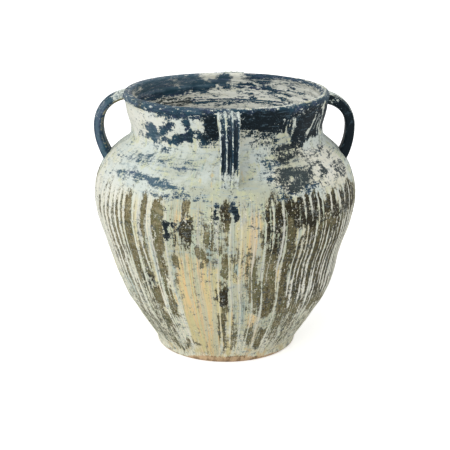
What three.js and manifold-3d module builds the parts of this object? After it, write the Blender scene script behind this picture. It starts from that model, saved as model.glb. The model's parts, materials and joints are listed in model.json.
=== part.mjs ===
// Terracotta planter: a big-bellied pot with a short flared neck and four strap handles.
// It is built as a potter builds one this size: a floor disc, a wall thrown in two sections,
// a neck and a rolled lip, luted together with slip in V-shaped joints, and four pulled
// handles that spring from the lip and land on the shoulder.
// Millimetres, +Z up. The pot stands on z = 0 with its axis on Z, and the front handle faces -Y.

import * as THREE from "three";
import { mergeVertices } from "three/addons/utils/BufferGeometryUtils.js";
import Module from "manifold-3d";

// Outside of the pot, from the ground up. Each rise is the height of one stretch of the wall,
// and a lean is measured from vertical, outwards.
const FOOT_RADIUS = 83;
const FOOT_EDGE = 7;
const FOOT_BATTER = 16;
const FOOT_CHAMFER = 1.2;
const FOOT_LEAN = 33;
const HIP_RADIUS = 119.5;
const HIP_RISE = 65;
const HIP_LEAN = 22;
const BELLY_RADIUS = 150;
const BELLY_RISE = 106;
const SHOULDER_RISE = 68;
const SHOULDER_PITCH = 29.5;
const NECK_FILLET = 8;
const THROAT_RADIUS = 108;
const THROAT_RISE = 16;
const THROAT_SPREAD = 0.8;
const THROAT_LEAN = 20;
const COLLAR_RISE = 25;
const COLLAR_SPREAD = 5.6;
const LIP_LEAN = 6;
const LIP_OVERHANG = 1.8;
const LIP_RISE = 11;
const LIP_UNDERCUT = 45;

// Clay thickness, the floor and the joints
const WALL = 9;
const FLOOR_THICKNESS = 12;
const FLOOR_TOE = 3;
const DRAIN_RADIUS = 9;
const JOINT_DEPTH = 3;
const SLIP_FILM = 0.3;

// Handles: a fluted strap on a centreline that leaves the lip level and comes down on the shoulder
const STRAP_WIDTH = 21;
const STRAP_THICKNESS = 11;
const STRAP_EDGE = 3.2;
const STRAP_FLUTES = 3;
const FLUTE_DEPTH = 1.6;
const LIP_FLARE = 1.24;
const FOOT_FLARE = 1.05;
const LIP_THINNING = 0.9;
const SPRING_DROP = 5;
const CROWN_DROP = 42;
const CROWN_STANDOFF = 34.5;
const LANDING_DROP = 21;
const LANDING_LEAN = 24;
const HANDLE_BEARINGS = { handle_front: -88.3, handle_right: 0, handle_back: 84.5, handle_left: 180 };

// How far each curve runs on along its end directions, as a share of the distance between its ends
const PULL = {
  foot: 0.33,
  belowHip: 0.33,
  aboveHip: 0.23,
  belowBelly: 0.12,
  aboveBelly: 0.4,
  shoulder: 0.37,
  throat: 0.35,
  collar: 0.35,
  lip: 0.35,
  handleSpring: 0.48,
  aboveCrown: 0.42,
  belowCrown: 0.38,
  handleLanding: 0.3,
};

// Facets
const TURN_STEPS = 48;
const LONG_CURVE_STEPS = 5;
const SHORT_CURVE_STEPS = 3;
const LIP_STEPS = 10;
const STRAP_STEPS = 12;
const FLUTE_STEPS = 4;

const wasm = await Module();
wasm.setup();

const HIP_HEIGHT = FOOT_EDGE + HIP_RISE;
const BELLY_HEIGHT = HIP_HEIGHT + BELLY_RISE;
const NECK_ROOT_HEIGHT = BELLY_HEIGHT + SHOULDER_RISE;
const NECK_SEAM_HEIGHT = NECK_ROOT_HEIGHT + THROAT_RISE;
const LIP_SEAM_HEIGHT = NECK_SEAM_HEIGHT + COLLAR_RISE;
const POT_HEIGHT = LIP_SEAM_HEIGHT + LIP_RISE;
const UP = 0;
const OUT = 90;
const DOWN = 180;

function point(radius, height) {
  return new THREE.Vector2(radius, height);
}

// Unit direction that leans outwards from vertical by an angle in degrees.
function direction(lean) {
  const angle = THREE.MathUtils.degToRad(lean);
  return point(Math.sin(angle), Math.cos(angle));
}

// Curve from one point and lean to another. Each pull is a share of the straight distance.
function stretch(start, startLean, startPull, end, endLean, endPull) {
  const span = start.distanceTo(end);
  const leave = direction(startLean).multiplyScalar(startPull * span).add(start);
  const arrive = end.clone().addScaledVector(direction(endLean), -endPull * span);
  return new THREE.CubicBezierCurve(start, leave, arrive, end);
}

// Sampled side of a section: outside points from bottom to top, each with its outward normal.
function sampled(pieces) {
  return pieces.flatMap(({ curve, steps }, index) =>
    Array.from({ length: steps + 1 }, (_, i) => i / steps)
      .slice(index ? 1 : 0)
      .map((t) => {
        const tangent = curve.getTangent(t);
        return { at: curve.getPoint(t), tangent, normal: point(tangent.y, -tangent.x) };
      }),
  );
}

// Outer profile
const foot = point(FOOT_RADIUS, FOOT_EDGE + SLIP_FILM);
const hip = point(HIP_RADIUS, HIP_HEIGHT);
const belly = point(BELLY_RADIUS, BELLY_HEIGHT);
const neckRoot = point(THROAT_RADIUS, NECK_ROOT_HEIGHT);
const shoulderLean = SHOULDER_PITCH - OUT;
const filletStart = neckRoot.clone().addScaledVector(direction(shoulderLean), -NECK_FILLET);
const filletEnd = neckRoot.clone().addScaledVector(direction(UP), NECK_FILLET);
const neckSeam = point(THROAT_RADIUS + THROAT_SPREAD, NECK_SEAM_HEIGHT);
const lipSeam = point(neckSeam.x + COLLAR_SPREAD, LIP_SEAM_HEIGHT);

const lowerSide = sampled([
  { curve: stretch(foot, FOOT_LEAN, PULL.foot, hip, HIP_LEAN, PULL.belowHip), steps: SHORT_CURVE_STEPS },
  { curve: stretch(hip, HIP_LEAN, PULL.aboveHip, belly, UP, PULL.belowBelly), steps: LONG_CURVE_STEPS },
]);
const shoulderCurve = stretch(belly, UP, PULL.aboveBelly, filletStart, shoulderLean, PULL.shoulder);
const throatCurve = stretch(filletEnd, UP, PULL.throat, neckSeam, THROAT_LEAN, PULL.throat);
const collarCurve = stretch(neckSeam, THROAT_LEAN, PULL.collar, lipSeam, LIP_LEAN, PULL.lip);
const shoulderSide = sampled([
  { curve: shoulderCurve, steps: LONG_CURVE_STEPS },
  { curve: new THREE.QuadraticBezierCurve(filletStart, neckRoot, filletEnd), steps: SHORT_CURVE_STEPS },
  { curve: throatCurve, steps: SHORT_CURVE_STEPS },
]);
const neckSide = sampled([{ curve: collarCurve, steps: LONG_CURVE_STEPS }]);

// Point of a sampled side at a depth into the wall and a shift along it.
function within({ at, tangent, normal }, depth, shift) {
  return at.clone().addScaledVector(normal, -depth).addScaledVector(tangent, shift);
}

// Joint line across the wall from outside to inside: a V that points down the wall.
function jointLine(sample, shift) {
  return [
    within(sample, 0, shift),
    within(sample, WALL / 2, shift - JOINT_DEPTH),
    within(sample, WALL, shift),
  ];
}

const grooveShift = -SLIP_FILM / 2;
const tongueShift = SLIP_FILM / 2;

// Profile of a wall section: up the outside, across the top groove, down the inside, across the base.
function wallProfile(side, base) {
  const between = side.slice(1, -1);
  const outerFace = between.map((sample) => within(sample, 0, 0));
  const innerFace = between.map((sample) => within(sample, WALL, 0)).reverse();
  const groove = jointLine(side.at(-1), grooveShift);
  const [outerToe, ...restOfBase] = base;
  return [outerToe, ...outerFace, ...groove, ...innerFace, ...restOfBase.reverse()];
}

// Solid of revolution about Z from a profile. A ring's profile closes on itself.
function revolve(profile) {
  const turned = new THREE.LatheGeometry(profile, TURN_STEPS);
  return turned.rotateX(Math.PI / 2);
}

function revolveRing(profile) {
  return revolve([...profile, profile[0].clone()]);
}

// Floor disc: bare edge under the wall, a seat for the wall's foot, a raised floor and a drain hole
const seatRadius = FOOT_RADIUS - WALL / Math.cos(THREE.MathUtils.degToRad(FOOT_LEAN));
const groundRadius = FOOT_RADIUS - FOOT_EDGE * Math.tan(THREE.MathUtils.degToRad(FOOT_BATTER));
const floorProfile = [
  point(DRAIN_RADIUS, 0),
  point(groundRadius - FOOT_CHAMFER, 0),
  point(groundRadius, FOOT_CHAMFER),
  point(FOOT_RADIUS, FOOT_EDGE),
  point(seatRadius - SLIP_FILM, FOOT_EDGE),
  point(seatRadius - SLIP_FILM, FLOOR_THICKNESS),
  point(DRAIN_RADIUS, FLOOR_THICKNESS),
];

// Wall sections
const lowerBase = [
  foot,
  point(seatRadius, FOOT_EDGE + SLIP_FILM),
  point(seatRadius, FLOOR_THICKNESS + FLOOR_TOE),
];
const lowerProfile = wallProfile(lowerSide, lowerBase);
const shoulderProfile = wallProfile(shoulderSide, jointLine(shoulderSide[0], tongueShift));
const neckProfile = wallProfile(neckSide, jointLine(neckSide[0], tongueShift));

// Lip: a rolled coil on the neck, overhanging outside and flush inside
const lipSeat = jointLine(neckSide.at(-1), tongueShift);
const lipHalfWidth = (lipSeat[0].x + LIP_OVERHANG - lipSeat[2].x) / 2;
const lipUndercut = THREE.MathUtils.degToRad(LIP_UNDERCUT);
const lipHalfHeight = (LIP_RISE - SLIP_FILM) / (1 + Math.sin(lipUndercut));
const lipCentre = point(lipSeat[2].x + lipHalfWidth, POT_HEIGHT - lipHalfHeight);
const lipRoll = new THREE.EllipseCurve(
  lipCentre.x,
  lipCentre.y,
  lipHalfWidth,
  lipHalfHeight,
  -lipUndercut,
  Math.PI,
).getPoints(LIP_STEPS);
const lipProfile = [lipSeat[0], ...lipRoll, lipSeat[2], lipSeat[1]];

// Solid plug of the pot's outside, one slip film larger, that trims the handles to the clay they sit on
const outside = [...lowerSide, ...shoulderSide.slice(1), ...neckSide.slice(1)];
const plugProfile = [
  point(0, 0),
  point(FOOT_RADIUS, 0),
  ...outside.map((sample) => within(sample, -SLIP_FILM, 0)),
  ...lipRoll
    .filter((p) => p.x > lipCentre.x)
    .map((p) => p.clone().addScaledVector(p.clone().sub(lipCentre).normalize(), SLIP_FILM)),
  point(lipCentre.x, POT_HEIGHT + SLIP_FILM),
  point(0, POT_HEIGHT + SLIP_FILM),
];

// Handle centreline in the plane of radius and height
const springPoint = point(lipCentre.x - WALL, POT_HEIGHT - SPRING_DROP);
const crownPoint = point(THROAT_RADIUS + CROWN_STANDOFF, POT_HEIGHT - CROWN_DROP);
const landingPoint = shoulderPointAt(NECK_ROOT_HEIGHT - LANDING_DROP);
const landingLean = DOWN + LANDING_LEAN;
const buriedEnd = landingPoint.clone().addScaledVector(direction(landingLean), 2 * WALL);
const centreline = [
  stretch(springPoint, OUT, PULL.handleSpring, crownPoint, DOWN, PULL.aboveCrown),
  stretch(crownPoint, DOWN, PULL.belowCrown, landingPoint, landingLean, PULL.handleLanding),
  new THREE.LineCurve(landingPoint, buriedEnd),
];

// Point of the shoulder's outside at a height, by halving.
function shoulderPointAt(height) {
  let [low, high] = [0, 1];
  while (high - low > 1e-6) {
    const middle = (low + high) / 2;
    if (shoulderCurve.getPoint(middle).y < height) low = middle;
    else high = middle;
  }
  return shoulderCurve.getPoint(low);
}

// Outline of the strap: x across it, y outwards, with flutes on its outer face and rounded edges.
function strapSection() {
  const steps = STRAP_FLUTES * FLUTE_STEPS;
  const halfFace = STRAP_WIDTH / 2 - STRAP_EDGE / 2;
  const outer = Array.from({ length: steps + 1 }, (_, i) => {
    const across = i / steps;
    const groove = FLUTE_DEPTH * Math.sin(Math.PI * STRAP_FLUTES * across) ** 2;
    return point(halfFace * (1 - 2 * across), STRAP_THICKNESS / 2 - groove);
  });
  const shoulderHeight = STRAP_THICKNESS / 2 - STRAP_EDGE;
  const inner = [
    point(-STRAP_WIDTH / 2, shoulderHeight),
    point(-STRAP_WIDTH / 2, -shoulderHeight),
    point(-halfFace, -STRAP_THICKNESS / 2),
    point(halfFace, -STRAP_THICKNESS / 2),
    point(STRAP_WIDTH / 2, -shoulderHeight),
    point(STRAP_WIDTH / 2, shoulderHeight),
  ];
  return [...outer, ...inner];
}

// Handle loft along its centreline, wider and thinner towards the lip, in the plane of +X and +Z.
function handleLoft() {
  const rings = sampled([
    { curve: centreline[0], steps: STRAP_STEPS },
    { curve: centreline[1], steps: STRAP_STEPS / 2 },
    { curve: centreline[2], steps: 1 },
  ]);
  const section = strapSection();
  const lipEnd = STRAP_STEPS;
  const positions = rings.flatMap(({ at, normal }, index) => {
    const toLip = Math.max(0, 1 - index / lipEnd) ** 2;
    const toFoot = Math.max(0, (index - lipEnd) / (rings.length - 1 - lipEnd)) ** 2;
    const width = 1 + (LIP_FLARE - 1) * toLip + (FOOT_FLARE - 1) * toFoot;
    const thickness = 1 + (LIP_THINNING - 1) * toLip;
    return section.flatMap(({ x, y }) => {
      const centre = at.clone().addScaledVector(normal, -y * thickness);
      return [centre.x, x * width, centre.y];
    });
  });
  return closedLoft(positions, rings.length, section);
}

// Closed surface through rings of as many points as the section has, with flat ends.
function closedLoft(positions, ringCount, section) {
  const sides = section.length;
  const triangles = [];
  for (let ring = 0; ring < ringCount - 1; ring++) {
    for (let side = 0; side < sides; side++) {
      const next = (side + 1) % sides;
      const a = ring * sides + side;
      const b = ring * sides + next;
      triangles.push(a, b, a + sides, b, b + sides, a + sides);
    }
  }
  const last = (ringCount - 1) * sides;
  for (const [a, b, c] of THREE.ShapeUtils.triangulateShape(section, [])) {
    triangles.push(a, c, b, last + a, last + b, last + c);
  }
  return new THREE.BufferGeometry()
    .setAttribute("position", new THREE.Float32BufferAttribute(positions, 3))
    .setIndex(triangles);
}

function solidOf(geometry) {
  const bare = geometry.clone();
  bare.deleteAttribute("normal");
  bare.deleteAttribute("uv");
  const merged = mergeVertices(bare, 1e-4);
  return new wasm.Manifold(
    new wasm.Mesh({
      numProp: 3,
      vertProperties: merged.attributes.position.array,
      triVerts: new Uint32Array(merged.index.array),
    }),
  );
}

function geometryOf(solid) {
  const { vertProperties, triVerts } = solid.getMesh();
  const made = new THREE.BufferGeometry()
    .setAttribute("position", new THREE.BufferAttribute(vertProperties, 3))
    .setIndex(new THREE.BufferAttribute(triVerts, 1));
  made.computeVertexNormals();
  return made;
}

// Fired clay and the weathered glazes over it
const bareClay = { color: 0xb98a62, roughness: 0.92, metalness: 0 };
const creamGlaze = { color: 0xc4c4ab, roughness: 0.7, metalness: 0 };
const streakedGlaze = { color: 0x8f8b70, roughness: 0.75, metalness: 0 };
const blueGlaze = { color: 0x32404f, roughness: 0.55, metalness: 0 };

const planter = new THREE.Group();

function add(name, geometry, finish) {
  const mesh = new THREE.Mesh(geometry, new THREE.MeshStandardMaterial(finish));
  mesh.name = name;
  planter.add(mesh);
  return mesh;
}

add("floor_disc", revolveRing(floorProfile), bareClay);
add("lower_wall", revolveRing(lowerProfile), streakedGlaze);
add("shoulder_wall", revolveRing(shoulderProfile), creamGlaze);
add("neck_collar", revolveRing(neckProfile), creamGlaze);
add("rim_lip", revolveRing(lipProfile), blueGlaze);

// Each handle is trimmed by the pot as the handle sees it, then turned to its bearing.
const loft = solidOf(handleLoft());
for (const [name, bearing] of Object.entries(HANDLE_BEARINGS)) {
  const turn = THREE.MathUtils.degToRad(bearing);
  const plug = solidOf(revolve(plugProfile).rotateZ(-turn));
  add(name, geometryOf(loft.subtract(plug)), blueGlaze).rotation.z = turn;
}

export default planter;
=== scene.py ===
"""Terracotta planter: hand-thrown clay skins, pulled strap handles and a weathered run glaze."""

import json
import math

import bpy
import numpy as np
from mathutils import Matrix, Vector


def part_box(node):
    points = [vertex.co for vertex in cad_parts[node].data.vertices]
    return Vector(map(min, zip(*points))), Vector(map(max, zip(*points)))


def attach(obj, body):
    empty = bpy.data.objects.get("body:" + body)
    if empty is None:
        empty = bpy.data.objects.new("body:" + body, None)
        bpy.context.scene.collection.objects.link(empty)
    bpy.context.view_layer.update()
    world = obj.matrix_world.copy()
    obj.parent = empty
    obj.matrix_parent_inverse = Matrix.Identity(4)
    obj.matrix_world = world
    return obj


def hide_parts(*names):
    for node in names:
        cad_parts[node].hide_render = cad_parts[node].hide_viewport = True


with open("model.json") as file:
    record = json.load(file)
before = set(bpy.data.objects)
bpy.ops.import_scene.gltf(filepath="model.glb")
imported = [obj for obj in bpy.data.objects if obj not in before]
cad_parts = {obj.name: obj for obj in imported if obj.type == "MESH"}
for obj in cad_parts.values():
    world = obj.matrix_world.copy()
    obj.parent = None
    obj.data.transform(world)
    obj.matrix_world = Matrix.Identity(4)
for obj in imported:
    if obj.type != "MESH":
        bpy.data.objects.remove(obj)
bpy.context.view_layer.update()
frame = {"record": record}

MM = 0.001
FULL_TURN = 360.0
SAME_POINT = 1e-6


def corner(node, axis):
    """Highest coordinate of a CAD node along an axis, in millimetres."""
    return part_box(node)[1][axis] / MM


# Sizes of the pot in millimetres, from the frame where its boxes give them, and leans in degrees
FOOT_RADIUS = corner("floor_disc", 0)
FLOOR_TOP = corner("floor_disc", 2)
BELLY_RADIUS = corner("lower_wall", 0)
BELLY_HEIGHT = corner("lower_wall", 2)
POT_HEIGHT = corner("rim_lip", 2)
LIP_RADIUS = corner("rim_lip", 0)
FOOT_EDGE = 7.15
GROUND_RADIUS = 79.4
FOOT_LEAN = 33
HIP = (119.5, 72)
HIP_LEAN = 22
NECK_ROOT = (108, 246)
SHOULDER_LEAN = -60.5
NECK_FILLET = 8
NECK_SEAM = (108.8, 262)
THROAT_LEAN = 20
LIP_SEAM = (114.4, 287)
LIP_LEAN = 6
LIP_HALF_HEIGHT = 5.4
LIP_SPREAD = 14
WALL = 9
DRAIN_RADIUS = 9
DRAIN_EDGE = 0.9
TOE_RADIUS = 72.3
TOE_HEIGHT = 15
TOE_CURVE_TOP = 30
TOE_CORNER = (80.3, 19)
TOE_INSET = 2
TOE_REACH = 7
UP, OUT, DOWN = 0, 90, 180

# Pull of each curve at its two ends, as shares of the straight distance between them
PULL = {
    "edge": (0.35, 0.3),
    "foot": (0.33, 0.33),
    "hip": (0.23, 0.12),
    "belly": (0.4, 0.37),
    "throat": (0.35, 0.35),
    "collar": (0.35, 0.35),
    "lip": (0.4, 0.45),
    "strap_rise": (0.43, 0.42),
    "strap_fall": (0.38, 0.3),
}

# Fineness of the skins
COLUMNS = 900
COARSE_STEP = 5
CURVE_STEPS = 120
BEND_STEPS = 60
FINE_ROW = 2.2
LIP_ROW = 1.0
NECK_ROW = 1.6
INNER_NECK_ROW = 0.8
INNER_ROW = 5.0
DRAIN_ROW = 1.25
UNDER_ROW = 10.0


# Section of the fired pot

def direction(lean):
    """Unit vector in the plane of radius and height, leaning outwards from vertical."""
    angle = math.radians(lean)
    return np.array([math.sin(angle), math.cos(angle)])


def stretch(start, start_lean, end, end_lean, pulls):
    """Curve from one point and lean to another, with a pull at each end."""
    start, end = np.array(start, float), np.array(end, float)
    span = np.linalg.norm(end - start)
    leave = start + direction(start_lean) * pulls[0] * span
    arrive = end - direction(end_lean) * pulls[1] * span
    t = np.linspace(0, 1, CURVE_STEPS)[:, None]
    return (1 - t) ** 3 * start + 3 * (1 - t) ** 2 * t * leave + 3 * (1 - t) * t ** 2 * arrive + t ** 3 * end


def bend(start, middle, end):
    """Curve that leaves towards the middle point and arrives from it."""
    start, middle, end = (np.array(p, float) for p in (start, middle, end))
    t = np.linspace(0, 1, BEND_STEPS)[:, None]
    return (1 - t) ** 2 * start + 2 * (1 - t) * t * middle + t ** 2 * end


def joined(*curves):
    """One run of points from curves that follow each other, without doubled points."""
    points = np.vstack([np.atleast_2d(np.array(c, float)) for c in curves])
    apart = np.linalg.norm(np.diff(points, axis=0), axis=1) > SAME_POINT
    return points[np.r_[True, apart]]


def arc_length(points):
    """Distance along a run of points to each of them."""
    return np.r_[0, np.cumsum(np.linalg.norm(np.diff(points, axis=0), axis=1))]


def unit(vectors):
    """Vectors brought to length 1."""
    return vectors / np.maximum(np.linalg.norm(vectors, axis=-1, keepdims=True), SAME_POINT)


def right_of(tangent):
    """Directions at a right angle to those of a run, on its right."""
    return np.column_stack([tangent[:, 1], -tangent[:, 0]])


def offset_inwards(points, depth):
    """The same run at a depth into the wall."""
    return points - depth * right_of(unit(np.gradient(points, arc_length(points), axis=0)))


def spaced(points, count):
    """A number of points along a run at an even spacing, ends included, and their distances along it."""
    length = arc_length(points)
    at = np.linspace(0, length[-1], count)
    return np.column_stack([np.interp(at, length, points[:, k]) for k in (0, 1)]), at


def pot_section():
    """Closed section of the pot: up the outside, over the lip, down the inside and back under the floor.

    Gives the points and the row at which each named stretch starts.
    """
    belly = (BELLY_RADIUS, BELLY_HEIGHT)
    root = np.array(NECK_ROOT, float)
    fillet_start = root - direction(SHOULDER_LEAN) * NECK_FILLET
    fillet_end = root + direction(UP) * NECK_FILLET
    foot = (FOOT_RADIUS, FOOT_EDGE)
    edge = stretch((GROUND_RADIUS, 0), OUT, foot, FOOT_LEAN / 2, PULL["edge"])
    lower = joined(
        stretch(foot, FOOT_LEAN, HIP, HIP_LEAN, PULL["foot"]),
        stretch(HIP, HIP_LEAN, belly, UP, PULL["hip"]),
    )
    shoulder = joined(
        stretch(belly, UP, fillet_start, SHOULDER_LEAN, PULL["belly"]),
        bend(fillet_start, root, fillet_end),
        stretch(fillet_end, UP, NECK_SEAM, THROAT_LEAN, PULL["throat"]),
    )
    neck = stretch(NECK_SEAM, THROAT_LEAN, LIP_SEAM, LIP_LEAN, PULL["collar"])
    neck_inside, shoulder_inside, lower_inside = (
        offset_inwards(curve, WALL)[::-1] for curve in (neck, shoulder, lower)
    )
    lip_inside = neck_inside[0]
    half_width = (LIP_RADIUS - lip_inside[0]) / 2
    centre = np.array([LIP_RADIUS - half_width, POT_HEIGHT - LIP_HALF_HEIGHT])
    around = np.radians(np.linspace(0, 180, CURVE_STEPS))
    roll = centre + np.column_stack([half_width * np.cos(around), LIP_HALF_HEIGHT * np.sin(around)])
    crest = len(roll) // 2
    flare = stretch(LIP_SEAM, LIP_LEAN + LIP_SPREAD, roll[0], UP, PULL["lip"])
    toe = (TOE_RADIUS, TOE_HEIGHT)
    lower_inside = lower_inside[lower_inside[:, 1] > TOE_CURVE_TOP]
    lower_inside = joined(lower_inside, bend(lower_inside[-1], TOE_CORNER, toe))
    drain_brim = (DRAIN_RADIUS + DRAIN_EDGE, FLOOR_TOP)
    drain_base = (DRAIN_RADIUS + DRAIN_EDGE, 0)
    inner_floor = joined(
        bend(toe, (TOE_RADIUS - TOE_INSET, FLOOR_TOP), (TOE_RADIUS - TOE_REACH, FLOOR_TOP)),
        drain_brim,
    )
    drain = joined(
        bend(drain_brim, (DRAIN_RADIUS, FLOOR_TOP), (DRAIN_RADIUS, FLOOR_TOP - DRAIN_EDGE)),
        bend((DRAIN_RADIUS, DRAIN_EDGE), (DRAIN_RADIUS, 0), drain_base),
    )
    underside = joined(drain_base, (GROUND_RADIUS, 0))
    stretches = (
        ("edge", edge, LIP_ROW),
        ("lower", lower, FINE_ROW),
        ("shoulder", shoulder, FINE_ROW),
        ("neck", neck, NECK_ROW),
        ("lip", joined(flare, roll[: crest + 1]), LIP_ROW),
        ("lip_inside", joined(roll[crest:], lip_inside), LIP_ROW),
        ("neck_inside", neck_inside, INNER_NECK_ROW),
        ("shoulder_inside", shoulder_inside, INNER_ROW),
        ("lower_inside", lower_inside, INNER_ROW),
        ("floor_inside", inner_floor, INNER_ROW),
        ("drain", drain, DRAIN_ROW),
        ("underside", underside, UNDER_ROW),
    )
    rows, starts = [], {}
    for name, points, spacing in stretches:
        starts[name] = len(rows)
        steps = max(1, round(arc_length(points)[-1] / spacing))
        rows.extend(spaced(points, steps + 1)[0][:-1])
    return np.array(rows), starts


section, starts = pot_section()
ROWS = len(section)
section_length = arc_length(section)
section_normal = right_of(unit(np.roll(section, -1, axis=0) - np.roll(section, 1, axis=0)))

# Every point of the skin has a bearing in degrees from the front, positive to the right, a level,
# its distance in millimetres from the ground along the section, and a depth past the crest of the lip.
CREST = section_length[starts["lip_inside"]]
BEARING = np.linspace(-180, 180, COLUMNS, endpoint=False)[None, :]
ANGLE = np.radians(BEARING)
LEVEL = section_length[:, None]
DEPTH = LEVEL - CREST
RADIUS = section[:, 0][:, None]
HEIGHT = section[:, 1][:, None]
ROW = np.arange(ROWS)[:, None]
DEGREE = np.maximum(RADIUS, FOOT_RADIUS) * math.radians(1)
OUTSIDE = LEVEL <= CREST


def turn_from(bearing):
    """Degrees from a bearing to each column, the short way round."""
    return (BEARING - bearing + 180) % FULL_TURN - 180


def eased(value, low, high):
    """0 below low, 1 above high, smooth between."""
    t = np.clip((value - low) / (high - low), 0, 1)
    return t * t * (3 - 2 * t)


def bell(value, width):
    """1 at zero, fading to both sides over a width."""
    return np.exp(-((value / width) ** 2))


def waves(random, count, turns, lengths):
    """Smooth irregular field from -1 to 1 about, of waves round the pot and along the section."""
    total = np.zeros((ROWS, COLUMNS))
    for _ in range(count):
        around = random.integers(turns[0], turns[1] + 1)
        length = random.uniform(*lengths) * random.choice([-1, 1])
        phase = random.uniform(0, 2 * math.pi)
        total += np.cos(around * ANGLE + 2 * math.pi * LEVEL / length + phase)
    return total / math.sqrt(count)


# Glaze marks. Each is (bearing, level, half width in degrees, half height in mm, amount) and,
# where it slants, its rise in mm per degree. An amount near one half breaks up into specks.

NAVY_MARKS = (
    # neck, left of the front handle
    (-28, 319.5, 7, 3.4, 1.05, 0.6), (-22, 322, 14, 2, 0.9), (-39.5, 318, 4, 0.9, 0.8),
    (-46.5, 297.5, 7.5, 9, 1.15), (-41, 297.5, 12, 7, 0.62), (-46.5, 303.5, 5.5, 2.4, 1.2),
    (-47, 294.8, 6.5, 2.2, 1.25), (-48, 291.2, 8, 1.6, 1.2, 0.1), (-56, 292, 3, 0.9, 0.7),
    (-55, 307, 4, 1, 0.6, 0.1), (-38, 299.5, 5, 2, 1.15), (-35, 304.5, 6.5, 4.6, 1.1, 0.9),
    (-32, 291.5, 9, 2.6, 1.2, 0.3), (-24, 296.5, 7.5, 7, 1.15, 0.4), (-26, 302, 4, 1.6, 0.9, 0.2),
    (-21.3, 309.5, 2.4, 9, 1.1, -2), (-15.2, 300.5, 1.8, 5.5, 1, -1.5), (-11.3, 296, 3.4, 6, 1.05, 0.5),
    (-7.2, 310, 4.2, 16, 1.12), (-10, 290, 6, 5, 0.4),
    # neck, right of the front handle
    (20, 317, 13.5, 13, 1.12), (27, 304, 6, 6, 0.95, -0.3), (19, 300, 12, 5, 0.68, -0.2),
    (22, 292, 12, 6, 0.54), (35.5, 309, 6, 13, 1.1), (36, 322, 8, 4, 1), (46, 301, 7, 19, 1.12),
    (60, 303, 12, 18, 1.05), (74, 305, 8, 16, 1),
    # right shoulder
    (38, 276, 12, 8, 0.6), (38, 283, 11, 2.8, 1.25), (32, 278, 6, 1.8, 0.9, 0.1),
    (44, 276, 5, 1.2, 0.8, 0.1), (35.5, 270.5, 10.5, 2.4, 1.2, 0.1), (29, 264, 5, 2.6, 1.05),
    (44, 264, 5, 1.4, 0.9, 0.2), (36, 258.5, 4, 1.2, 0.8, 0.1), (50, 272, 6, 1.4, 0.65, 0.3),
    (55, 279, 4, 1.2, 0.7, 0.3), (32.4, 248.5, 8, 7.5, 0.95), (33, 236, 9, 8, 0.86), (32, 254, 8, 2, 1.3),
    (32.6, 250, 8.2, 2.4, 1.3), (31.8, 245.8, 7.8, 2.2, 1.25), (33, 241.8, 8, 2, 1.1),
    (31, 238, 6.5, 1.8, 1.05), (34, 234.4, 8.5, 1.8, 0.95), (31, 230.5, 6.5, 1.6, 0.85),
    (43.2, 249, 1.8, 6, 1.05), (47, 253.5, 5, 1.2, 1.15, 0.1), (44, 257, 5, 1.2, 0.7, 0.1),
    (21.6, 246, 1.2, 5, 0.95, -1.2), (21.8, 234, 1.4, 3, 0.8), (35, 232, 12, 7, 0.62),
    (49, 236, 6, 7, 0.42), (52.4, 246, 1.9, 4.5, 1), (50, 232, 2.2, 2.6, 0.9), (60, 268, 8, 1.4, 1, 0.4),
    (66, 258, 7, 1.8, 0.95, 0.3), (68, 275, 7, 1.4, 0.95, 0.4), (67, 240, 6, 12, 0.62),
    (58, 232, 5, 3, 0.7), (61, 246, 3, 1.6, 0.75, 0.2), (20.5, 264, 3, 24, 0.4), (24.5, 230, 3, 10, 0.45),
    # left shoulder
    (-44, 280, 2.5, 1, 0.8), (-36.5, 280.5, 4, 1.2, 1.05), (-35, 272.5, 1.6, 1.8, 0.75),
    (-40, 271, 1.6, 1.2, 0.65), (-49, 268, 6, 1.8, 1.05, -0.1), (-44, 264, 7, 1.2, 0.9),
    (-31, 266, 5, 1.2, 0.9, -0.1), (-52, 260, 9, 1.8, 1.05, 0.1), (-67, 255, 2.5, 1.5, 0.6),
    (-20, 268.5, 2.8, 2, 0.95, -0.6), (-20.5, 260, 4.5, 2.6, 0.95, -0.2), (-21.8, 250, 1.2, 1.6, 0.7),
    (-42, 241.5, 14, 4.5, 0.55), (-55, 239.5, 6, 2.6, 1, 0.5), (-48, 244.5, 6, 2, 1.15, 0.1),
    (-44, 241, 8, 2.2, 1.05), (-36, 244, 7, 1.8, 1.15, -0.1), (-33, 240.2, 7, 2.4, 1.1, -0.2),
    (-27, 237, 6, 2.6, 1.05, -0.6), (-24, 232.5, 4, 1.8, 0.95, -0.6), (-38, 236.5, 5, 1, 0.6),
    (-17.8, 233.5, 1.1, 4.5, 1.05), (-26, 226.5, 8, 2.6, 0.75, -0.1), (-14, 226, 6, 4, 0.45),
    # belly
    (-24.2, 190, 1.8, 15, 1.1), (-21, 197, 1.6, 5, 1), (-18.5, 194, 1.2, 9, 0.95),
    (-20, 190, 5.5, 10, 0.55), (-15.6, 188, 1, 9, 0.9), (-9, 183, 3, 6, 0.6), (-3.2, 210, 1.3, 12, 1.05),
    (3.9, 213, 1.4, 13, 1.15), (1.9, 208, 0.8, 9, 0.8), (-1, 203, 4, 9, 0.5), (4, 110, 0.8, 14, 0.8),
    (6.6, 104, 0.7, 16, 0.7), (20.5, 200, 4, 24, 0.3),
)
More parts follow.
